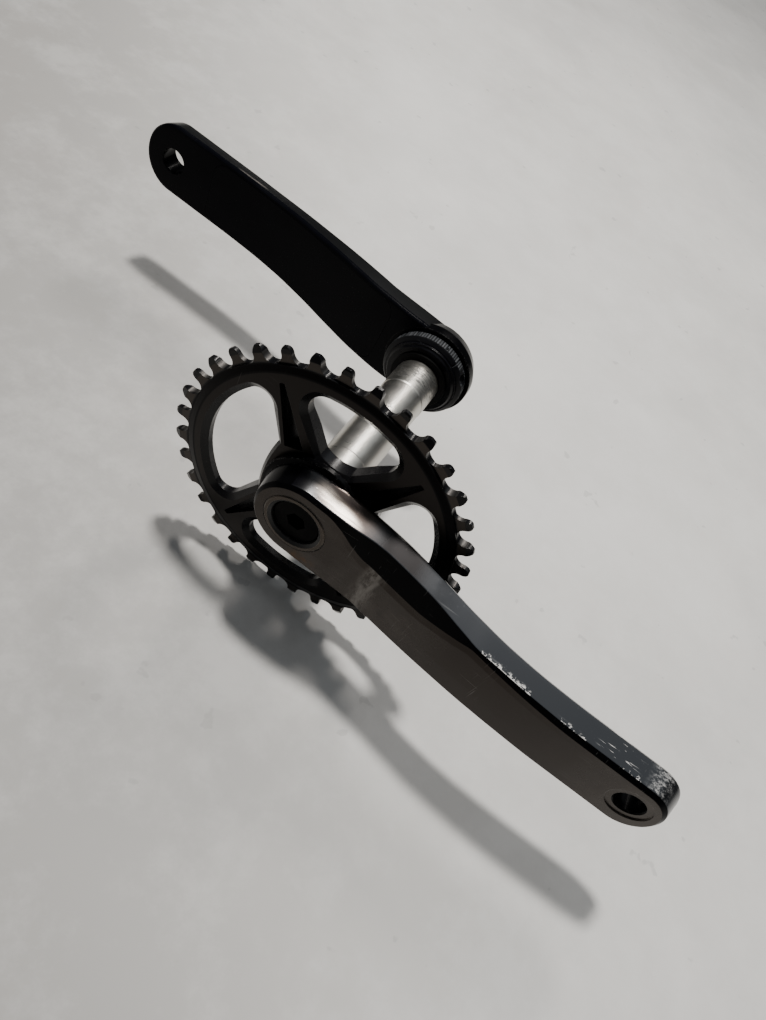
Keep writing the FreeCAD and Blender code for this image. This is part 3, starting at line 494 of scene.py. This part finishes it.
def ring_faces(tree, edge_mask):
    """A brown satin web, a black band outside it, and teeth that the chain has worn grey."""
    facing = faces_sideways(tree)
    radius = spindle_distance(tree)
    y = axes(tree)[1]
    web = product(tree, ramp(tree, facing, 0.986, 0.996),
                  ramp(tree, y, RING_FRONT + 0.2, RING_FRONT - 0.2),
                  ramp(tree, radius, WEB_EDGE + 0.2, WEB_EDGE - 0.2))
    rim_band = product(tree, between(tree, radius, WEB_EDGE, TOOTH_ROOT - 0.2, 0.3),
                       ramp(tree, facing, 0.5, 0.7))
    tooth = product(tree, between(tree, radius, TOOTH_ROOT + 0.2, TOOTH_TIP - 0.1, 0.3),
                    ramp(tree, facing, 0.8, 0.9),
                    ramp(tree, y, TOOTH_FRONT + 0.2, TOOTH_FRONT - 0.2))
    flank = product(tree, between(tree, radius, TOOTH_ROOT + 0.6, TOOTH_TIP + 0.1, 0.3),
                    ramp(tree, facing, 0.5, 0.3))
    return None, [film(web, (0.0195, 0.0172, 0.0162), 0.34, 1.0),
                  film(rim_band, (0.0045, 0.0042, 0.0045), 0.30, 1.0),
                  film(tooth, (0.048, 0.042, 0.038), 0.40, 1.0),
                  film(flank, (0.075, 0.071, 0.068), 0.42, 1.0)]


def turned_marks(tree, edge_mask):
    """Fine rings on the spindle, and dark smears beside the left hub."""
    rings = noise(tree, place(tree, (0.02, 3.0, 0.02)), scale=1.0, detail=3.0, rough=0.6,
                  low=0.35, high=0.65)
    band_near_hub = between(tree, axes(tree)[1], 30.0, 46.0, 2.5)
    smear = noise(tree, place(tree, (0.25, 0.9, 0.25)), scale=1.0, detail=5.0, rough=0.65,
                  low=0.48, high=0.60)
    return None, [film(product(tree, rings, 0.35), (0.64, 0.615, 0.56), 0.36, 1.0),
                  film(product(tree, band_near_hub, smear, 0.9), (0.075, 0.075, 0.075), 0.42,
                       0.8)]


def polished_rims_and_bore_shade(tree, edge_mask):
    """Bright edges on the extractor ring, and painted shade, near black, inside its bore."""
    bore = ramp(tree, spindle_distance(tree), EXTRACTOR_BORE + 0.15, EXTRACTOR_BORE - 0.15)
    return None, [film(product(tree, edge_mask, 0.55), (0.34, 0.31, 0.28), 0.30, 1.0),
                  film(bore, (0.002, 0.002, 0.002), 0.5, 0.0)]


def knurl_shine(tree, edge_mask):
    """Fine ribs on the adjuster's rim and painted sheen: dark grey on the rim, paler on the ribs.
    """
    x, _, z = axes(tree)
    turn = calc(tree, "ARCTAN2", z, x)
    ribs = ramp(tree, calc(tree, "SINE", product(tree, turn, KNURL_RIBS)), -0.5, 0.7)
    rim = ramp(tree, faces_sideways(tree), 0.45, 0.25)
    return None, [film(rim, (0.012, 0.013, 0.014), 0.40, 0.2),
                  film(product(tree, rim, ribs), (0.070, 0.073, 0.078), 0.34, 0.2)]


# ---------------------------------------------------------------- materials
RUBBER_SHINE = 0.10


def rubber(name, colour, rough):
    """Moulded black: a skin texture with pale dust in patches."""
    material, tree, shader = new_material(name)
    where = place(tree)
    dust = noise(tree, where, scale=0.12, detail=5.0, rough=0.65, low=0.45, high=0.75)
    dusty = tuple(c * 2.2 + 0.002 for c in colour)
    tree.links.new(blend_colour(tree, dust, colour, dusty), shader.inputs["Base Color"])
    tree.links.new(blend_value(tree, dust, rough, rough + 0.2), shader.inputs["Roughness"])
    shader.inputs["Specular IOR Level"].default_value = RUBBER_SHINE
    skin = node(tree, "TexNoise", inputs={"Vector": where, "Scale": 2.5, "Detail": 4.0})
    relief = node(tree, "Bump", inputs={"Height": skin.outputs["Fac"], "Strength": 0.4,
                                        "Distance": 0.04 * MM,
                                        "Normal": edges(tree, 0.2)[1]})
    tree.links.new(relief.outputs["Normal"], shader.inputs["Normal"])
    return material


# each surface's two colours come first, the bare one last
arm_body = surface("arm_body", (0.038, 0.0325, 0.0290), (0.048, 0.0420, 0.0375), rough=0.27,
                   metallic=1.0, bare=BARE_ALUMINIUM, wear=0.12, scratch=0.07, edge=0.35,
                   extra=face_wear_and_painted_light)
arm_top = surface("arm_top", (0.070, 0.072, 0.076), (0.085, 0.087, 0.091), rough=0.22,
                  metallic=1.0, bare=BARE_ALUMINIUM, wear=0.1, scratch=0.22, edge=0.35,
                  smudge=0.02, extra=wall_wear_and_painted_light)
arm_edge = surface("arm_edge", (0.060, 0.061, 0.064), (0.075, 0.077, 0.081), rough=0.24,
                   metallic=1.0, bare=BARE_ALUMINIUM, wear=0.1, scratch=0.22, edge=0.35,
                   smudge=0.02, extra=edge_wear_and_painted_light)
arm_rim = surface("arm_rim", (0.22, 0.21, 0.20), (0.28, 0.27, 0.26), rough=0.26,
                  metallic=1.0, bare=BARE_ALUMINIUM, wear=0.3)
arm_black = surface("arm_black", (0.0012, 0.0012, 0.0016), (0.0022, 0.0022, 0.0026),
                    rough=0.20, metallic=0.0, bare=BARE_ALUMINIUM, specular=0.05, wear=0.12,
                    scratch=0.12, edge=0.45)
arm_gloss = surface("arm_gloss", (0.0012, 0.0013, 0.0024), (0.0020, 0.0021, 0.0034),
                    rough=0.22, metallic=0.0, bare=(0.20, 0.20, 0.21), specular=0.05,
                    wear=0.04, scratch=0.06, bump=0.008)
ring_metal = surface("ring_metal", (0.0030, 0.0030, 0.0036), (0.0045, 0.0042, 0.0048),
                     rough=0.26, metallic=0.0, bare=(0.20, 0.19, 0.18), specular=0.20,
                     wear=0.06, scratch=0.15, extra=ring_faces)
spindle_metal = surface("spindle_metal", (0.52, 0.50, 0.455), (0.56, 0.54, 0.495), rough=0.30,
                        metallic=1.0, bare=(0.75, 0.74, 0.72), grain=(0.02, 6.0, 0.02),
                        bump=0.04, wear=0.2, scratch=0.12, smudge=0.04, extra=turned_marks)
preload_black = surface("preload_black", (0.004, 0.004, 0.005), (0.007, 0.007, 0.008),
                        rough=0.38, metallic=0.0, bare=(0.14, 0.14, 0.15), specular=0.12,
                        wear=0.3, scratch=0.2, extra=knurl_shine)
dark_steel = surface("dark_steel", (0.010, 0.010, 0.011), (0.018, 0.017, 0.017), rough=0.40,
                     metallic=0.6, bare=(0.25, 0.24, 0.23), specular=0.3, wear=0.35,
                     scratch=0.2)
bolt_black = surface("bolt_black", (0.0012, 0.0012, 0.0012), (0.0020, 0.0020, 0.0020),
                     rough=0.45, metallic=0.0, bare=(0.03, 0.03, 0.03), specular=0.03,
                     wear=0.25, scratch=0.1)
washer_black = surface("washer_black", (0.002, 0.002, 0.003), (0.004, 0.004, 0.005),
                       rough=0.20, metallic=0.0, bare=(0.10, 0.10, 0.11), specular=0.18,
                       wear=0.35, scratch=0.15)
extractor_metal = surface("extractor_metal", (0.050, 0.042, 0.035), (0.062, 0.052, 0.044),
                          rough=0.26, metallic=1.0, bare=(0.55, 0.53, 0.50), edge=0.22,
                          wear=0.4, scratch=0.1, extra=polished_rims_and_bore_shade)
black_plastic = rubber("black_plastic", (0.006, 0.006, 0.007), 0.38)
seal_rubber = rubber("seal_rubber", (0.0015, 0.0015, 0.0015), 0.50)

NODE_LOOKS = {
    "chainring": ring_metal, "chainring_lockring": dark_steel, "lockring_washer": dark_steel,
    "crank_bolt": bolt_black, "crank_bolt_washer": bolt_black,
    "extractor_ring": extractor_metal, "extractor_o_ring": seal_rubber,
    "drive_dust_seal": seal_rubber, "left_dust_seal": seal_rubber,
    "preload_o_ring": seal_rubber, "spindle": spindle_metal, "spindle_bung": black_plastic,
    "left_hub_cap": black_plastic, "preload_ring": preload_black,
    "preload_clamp_screw": dark_steel, "preload_washer": washer_black,
}
for label, look in NODE_LOOKS.items():
    cad_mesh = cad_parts[label].data
    cad_mesh.materials.clear()
    cad_mesh.materials.append(look)

# ---------------------------------------------------------------- crank arms
def arm_outline():
    """(centre u, direction angle, share of the top side) for each point round an arm."""
    steps = int(ARM / STEP)
    points = [(ARM * k / steps, 90.0, 1.0) for k in range(steps)]
    for k in range(ROUND_STEPS):
        angle = 90.0 - 180.0 * k / ROUND_STEPS
        points.append((ARM, angle, smooth((angle + 90.0) / 180.0)))
    points += [(ARM * (1 - k / steps), -90.0, 0.0) for k in range(steps)]
    for k in range(ROUND_STEPS):
        angle = -90.0 - 180.0 * k / ROUND_STEPS
        points.append((0.0, angle, smooth((-90.0 - angle) / 180.0)))
    return points


SECTION_RADII = [0.0, 2.2, 0.9, 0.45, 1.8, 0.0]       # of the arcs at the section's corners
LOWER_BEVEL = (0.2, 0.9, 1.0)     # beyond and within the face's half width, and its drop
LOWER_RIDGE = (0.4, 0.6)          # place and rise of the lower half's ridge, as shares
MIDDLE_RISE = 0.8                 # of the ridge's height that the face keeps in its middle


def arm_section(u, top):
    """Corners of half a section, from the inner face's middle line to the outer face's."""
    low, face = follow(INNER_HEIGHT, u), follow(FACE_HEIGHT, u)
    rise = follow(RIDGE_RISE, u)
    middle = (0.0, face + MIDDLE_RISE * rise)
    if top:
        bevel_outer, bevel_inner = follow(BEVEL_OUTER, u), follow(BEVEL_INNER, u)
        drop = follow(BEVEL_DROP, u)
        ridge = bevel_inner - RIDGE_OFFSET
    else:
        beyond, within, drop = LOWER_BEVEL
        bevel_outer = follow(FACE_HALF, u) + beyond
        bevel_inner = follow(FACE_HALF, u) - within
        ridge = LOWER_RIDGE[0] * bevel_inner
        rise *= LOWER_RIDGE[1]
    return [(0.0, low), (follow(INNER_HALF, u), low), (bevel_outer, face - drop),
            (bevel_inner, face), (ridge, face + rise), middle]


def arm_points(centre, angle, share):
    top, bottom = arm_section(centre, True), arm_section(centre, False)
    corners = [tuple(mix(b, t, share) for b, t in zip(bottom[i], top[i]))
               for i in range(len(top))]
    along, across = math.cos(math.radians(angle)), math.sin(math.radians(angle))
    if centre > 0.5 * ARM:
        along *= TIP_ROUNDNESS
    return [(centre + reach * along, reach * across, out)
            for reach, out in rounded(corners, SECTION_RADII)]


BODY, BLACK, GLOSS, TOP, EDGE, RIM = range(6)         # places in ARM_LOOKS
ARM_LOOKS = (arm_body, arm_black, arm_gloss, arm_top, arm_edge, arm_rim)
INNER_FACE_LEVELS = range(0, 2)           # strips of an arm's section, from its inner face
INNER_EDGE_LEVELS = range(2, 4)
WALL_EDGE_LEVELS = range(CORNER_STEPS + 2, CORNER_STEPS + 4)
BEVEL_LEVELS = range(2 * CORNER_STEPS + 1, 3 * CORNER_STEPS + 1)
RIM_LEVEL = 3 * CORNER_STEPS + 1
# shares of the top side, between which the looks change round a tip or a hub
HUB_BLACK_BELOW, BEVEL_ABOVE, WALL_ABOVE, RIM_BELOW = 0.93, 0.3, 0.2, 0.1


def arm_blank(name, sign):
    """The whole outside of an arm without its hub and holes; sign is -1 for the left arm."""
    bm = bmesh.new()
    outline = arm_outline()
    sections = [arm_points(*point) for point in outline]
    loops = [[bm.verts.new((sign * s[level][0], -sign * s[level][2], sign * s[level][1]))
              for s in sections] for level in range(len(sections[0]))]

    def pick(level, i):
        centre, angle, share = outline[i]
        # on the left arm the inner edge's arcs take the inner face's gloss black as painted shade
        if level in INNER_FACE_LEVELS or sign < 0 and level in INNER_EDGE_LEVELS:
            return GLOSS
        # painted shade: the walls round each hub end take the black look
        hub_end_shaded = centre == 0.0 and abs(angle) > 90.0 and share < HUB_BLACK_BELOW
        if hub_end_shaded and level < BEVEL_LEVELS[0] or share > BEVEL_ABOVE and level in BEVEL_LEVELS:
            return BLACK
        if share < RIM_BELOW and level == RIM_LEVEL:
            return RIM
        if share > WALL_ABOVE and level in WALL_EDGE_LEVELS:
            return EDGE
        return TOP if share > WALL_ABOVE and level < WALL_EDGE_LEVELS[0] else BODY

    grid_faces(bm, loops, pick)
    return finish_mesh(name, bm, ARM_LOOKS)


PLATE_START, PLATE_END, PLATE_CORNER = 29.8, 150.5, 7.0
PLATE_MARGIN = 2.4                # from the inner face's edge
PLATE_THICKNESS, RECESS_DEPTH = 1.75, 1.85
PLATE_GAP, RECESS_GAP = 0.05, -0.12
RECESS_OVERCUT = 2.0
PLATE_STEPS = 60


def band(u, margin, low, high, sign, bm):
    """Corner points of a rectangle behind the inner face at u."""
    half = follow(INNER_HALF, u) - margin
    base = follow(INNER_HEIGHT, u)
    return [bm.verts.new((sign * u, -sign * out, sign * v))
            for v, out in ((-half, base + low), (half, base + low),
                           (half, base + high), (-half, base + high))]


def plate_solid(name, sign, gap, low, high, looks, look=0):
    """The inner plate, or with a negative gap the recess that it sits in."""
    bm = bmesh.new()
    loops = []
    start, end = PLATE_START + gap, PLATE_END - gap
    for k in range(PLATE_STEPS + 1):
        u = mix(start, end, 0.5 - 0.5 * math.cos(math.pi * k / PLATE_STEPS))
        inset = 0.0
        near = min(u - start, end - u)
        if near < PLATE_CORNER:
            inset = PLATE_CORNER - math.sqrt(PLATE_CORNER ** 2 - (PLATE_CORNER - near) ** 2)
        loops.append(band(u, PLATE_MARGIN + gap + inset, low, high, sign, bm))
    grid_faces(bm, loops, lambda level, i: look)
    for cap in (loops[0], loops[-1]):
        bm.faces.new(cap).material_index = look
    return finish_mesh(name, bm, looks)


SEGMENTS, BORE_SEGMENTS = 144, 240        # round a turned solid, and round a bore with ribs


def lathe(name, side, profile, segments=SEGMENTS, **options):
    """A turned solid with the arm's materials, to join to an arm or to cut from it."""
    bm = bmesh.new()
    turned(bm, profile, side, segments, **options)
    return finish_mesh(name, bm, ARM_LOOKS)


FILLET_STEPS = 8


def arc(centre, radius, start, end, steps=FILLET_STEPS):
    """Points of a circular arc in a turned profile, by angle in degrees."""
    return [(centre[0] + radius * math.cos(math.radians(mix(start, end, k / steps))),
             centre[1] + radius * math.sin(math.radians(mix(start, end, k / steps))))
            for k in range(steps + 1)]


# turned profiles of (radius, out) in millimetres, from one end of the axis to the other
PEDAL_SEAT = [(0, 83.3), (9.6, 83.3), (9.9, 83.45), (9.9, 83.9), (10.2, 84.1), (10.2, 86.0),
              (0, 86.0)]
PEDAL_HOLE = [(0, 70.0), (7.1, 70.0), (7.1, 71.9), (6.5, 72.5), (6.5, 82.7), (7.2, 83.4),
              (7.2, 86.0), (0, 86.0)]


def crank_arm(name, side, hub_profile, bore_profile, bore_ripple=None):
    """One arm: blank, hub and boss joined, then the holes and the plate's recess cut."""
    sign = -side
    arm = arm_blank(name, sign)
    boolean(arm, lathe("hub", side, hub_profile, look=BLACK), "UNION")
    bore = lathe("bore", side, bore_profile, BORE_SEGMENTS, ripple=bore_ripple, look=BLACK)
    boolean(arm, bore)
    spot = (sign * ARM, 0.0)
    boolean(arm, lathe("pedal_seat", side, PEDAL_SEAT, centre=spot, look=BODY))
    boolean(arm, lathe("pedal_hole", side, PEDAL_HOLE, centre=spot, look=BLACK))
    boolean(arm, plate_solid("recess", sign, RECESS_GAP, -RECESS_OVERCUT, RECESS_DEPTH,
                             ARM_LOOKS, GLOSS))
    shade_after_booleans(arm)
    return arm


DRIVE_HUB = ([(0, 45.5), (15.9, 45.5), (16.4, 46.0), (16.4, 50.4), (18.0, 50.4), (18.0, 55.4),
              (24.1, 55.4), (24.4, 55.7), (24.4, 57.7), (24.0, 58.2)]
             + arc((24.6, 62.6), 4.4, 266, 205) + [(19.6, 61.9), (19.6, 66.0), (0, 66.0)])
DRIVE_BORE = [(0, 44.0), (12.6, 44.0), (12.6, 45.6), (12.06, 46.2), (12.06, 62.5), (14.0, 62.5),
              (14.0, 68.4), (14.8, 68.4), (14.8, 71.1), (14.95, 71.3), (14.95, 73.0), (0, 73.0)]
LEFT_HUB = [(0, 51.3), (16.5, 51.3), (16.9, 51.7), (16.9, 55.3), (15.3, 55.3), (15.3, 56.9),
            (16.9, 56.9), (16.9, 57.5), (24.0, 57.5), (24.4, 57.9), (24.4, 62.6), (24.2, 63.2),
            (22.2, 68.9), (21.6, 69.9), (20.9, 70.8), (20.0, 71.3), (0, 71.3)]
LEFT_BORE = [(0, 50.0), (12.0, 50.0), (12.0, 69.3), (13.0, 69.3), (13.0, 71.0), (13.3, 71.35),
             (13.6, 73.0), (0, 73.0)]


SPLINES = 24
SPLINE_RADIUS = 0.72
SPLINED_RADIUS = 12.06            # of the bore between its ribs
SPLINED_POINTS = (3, 4)           # of DRIVE_BORE


def splines(index, angle):
    """Half-round ribs along the splined stretch of the drive arm's bore."""
    if index not in SPLINED_POINTS:
        return 0.0
    pitch = 2.0 * math.pi / SPLINES
    offset = (angle + pitch / 2) % pitch - pitch / 2
    across = abs(offset) * SPLINED_RADIUS
    return -math.sqrt(SPLINE_RADIUS ** 2 - across ** 2) if across < SPLINE_RADIUS else 0.0


# ---------------------------------------------------------------- the pieces
for side, body, name, hub, bore, ripple in (
        (-1, "drive_unit", "drive_arm", DRIVE_HUB, DRIVE_BORE, splines),
        (1, "left_unit", "left_arm", LEFT_HUB, LEFT_BORE, None)):
    arm = crank_arm(name + "_shell", side, hub, bore, ripple)
    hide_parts(name)
    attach(arm, body)
    plate = plate_solid(name + "_inner_plate", -side, PLATE_GAP, 0.0, PLATE_THICKNESS,
                        [arm_gloss])
    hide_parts(name + "_plate")
    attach(plate, body)

# ---------------------------------------------------------------- floor, light and camera
FLOOR_HALF = 3.0
FLOOR_GAP = 0.0002                # metres between the part's lowest point and the floor
FLOOR_Z = CAD_BOX[0].z - FLOOR_GAP
FLOOR_ROUGHNESS = 0.62
PAINTED_SHADE_ACROSS = (0.78, 0.62)       # direction on the floor from its painted shade to its paler side
SKY_COLOUR = (0.90, 0.95, 1.0, 1.0)
SKY_STRENGTH = (0.07, 0.42)       # low in the sky and high in it
SKY_RISE = (0.50, 0.85)           # heights between which the strength grows
# name, place in metres, size, watts and colour of each lamp, all of them aimed at the origin
LAMPS = [("key", (-0.29, 0.27, 1.50), (0.13, 0.13), 31.0, (1.0, 0.975, 0.94)),
         ("hub_glint", (-0.08, 0.95, 1.17), (0.20, 0.24), 6.5, (1.0, 0.95, 0.90)),
         ("sky_panel", (0.52, 0.82, 1.15), (0.60, 0.45), 0.80, (0.85, 0.94, 1.0))]


def floor_material():
    """Pale stone with painted shade on one side, and faint clouds, veins, stains and specks."""
    material, tree, shader = new_material("floor_stone")
    source = node(tree, "TexCoord").outputs["Object"]
    x, y, _ = node(tree, "SeparateXYZ", inputs={0: source}).outputs
    across = calc(tree, "ADD", product(tree, x, PAINTED_SHADE_ACROSS[0]),
                  product(tree, y, PAINTED_SHADE_ACROSS[1]))
    # painted shade: darker towards one side of the floor
    base = blend_colour(tree, ramp(tree, across, -0.22, 0.16), (0.300, 0.288, 0.272),
                        (0.70, 0.685, 0.655))
    clouds = noise(tree, source, scale=6.5, detail=9.0, rough=0.66, low=0.28, high=0.72)
    veins = noise(tree, source, scale=21.0, detail=9.0, rough=0.72, low=0.42, high=0.66)
    stains = noise(tree, source, scale=4.1, detail=5.0, rough=0.6, low=0.56, high=0.74)
    specks = noise(tree, source, scale=75.0, detail=3.0, rough=0.5, low=0.70, high=0.74)
    for field, share, colour in ((clouds, 0.30, (0.36, 0.35, 0.335)),
                                 (veins, 0.16, (0.86, 0.85, 0.83)),
                                 (stains, 0.22, (0.40, 0.36, 0.34)),
                                 (specks, 0.25, (0.22, 0.215, 0.21))):
        base = blend_colour(tree, product(tree, field, share), base, colour)
    tree.links.new(base, shader.inputs["Base Color"])
    shader.inputs["Roughness"].default_value = FLOOR_ROUGHNESS
    return material


def make_floor():
    mesh = bpy.data.meshes.new("floor")
    corners = [(x, y, FLOOR_Z) for x, y in ((-FLOOR_HALF, -FLOOR_HALF), (FLOOR_HALF, -FLOOR_HALF),
                                            (FLOOR_HALF, FLOOR_HALF), (-FLOOR_HALF, FLOOR_HALF))]
    mesh.from_pydata(corners, [], [(0, 1, 2, 3)])
    mesh.materials.append(floor_material())
    floor = bpy.data.objects.new("floor", mesh)
    bpy.context.scene.collection.objects.link(floor)


def area_light(name, spot, size, power, colour):
    data = bpy.data.lights.new(name, "AREA")
    data.shape = "RECTANGLE"
    data.size, data.size_y = size
    data.energy = power
    data.color = colour
    light = bpy.data.objects.new(name, data)
    light.location = spot
    light.rotation_euler = (-Vector(spot)).to_track_quat("-Z", "Y").to_euler()
    bpy.context.scene.collection.objects.link(light)


def make_world():
    """A soft sky that is brighter high up, so the pale floor stays plain and the metal dark."""
    world = bpy.data.worlds.new("studio")
    world.use_nodes = True
    sky = world.node_tree
    direction = node(sky, "TexCoord").outputs["Generated"]
    height = node(sky, "SeparateXYZ", inputs={0: direction}).outputs[2]
    strength = blend_value(sky, ramp(sky, height, *SKY_RISE), *SKY_STRENGTH)
    background = sky.nodes["Background"]
    background.inputs["Color"].default_value = SKY_COLOUR
    sky.links.new(strength, background.inputs["Strength"])
    bpy.context.scene.world = world


CAMERA_SPOT = Vector((27.9, -257.4, 259.2)) * MM
CAMERA_BACK = Vector((0.006, -0.649, 0.761))
CAMERA_UP = Vector((-0.596, 0.609, 0.523))
LENS = 27.32
SENSOR = 36.0


def make_camera():
    data = bpy.data.cameras.new("camera")
    data.lens = LENS
    data.sensor_width = SENSOR
    camera = bpy.data.objects.new("camera", data)
    back = CAMERA_BACK.normalized()
    right = CAMERA_UP.cross(back).normalized()
    up = back.cross(right)
    turn = Matrix((right, up, back)).transposed().to_4x4()
    camera.matrix_world = Matrix.Translation(CAMERA_SPOT) @ turn
    bpy.context.scene.collection.objects.link(camera)
    bpy.context.scene.camera = camera


make_floor()
for lamp in LAMPS:
    area_light(*lamp)
make_world()
make_camera()
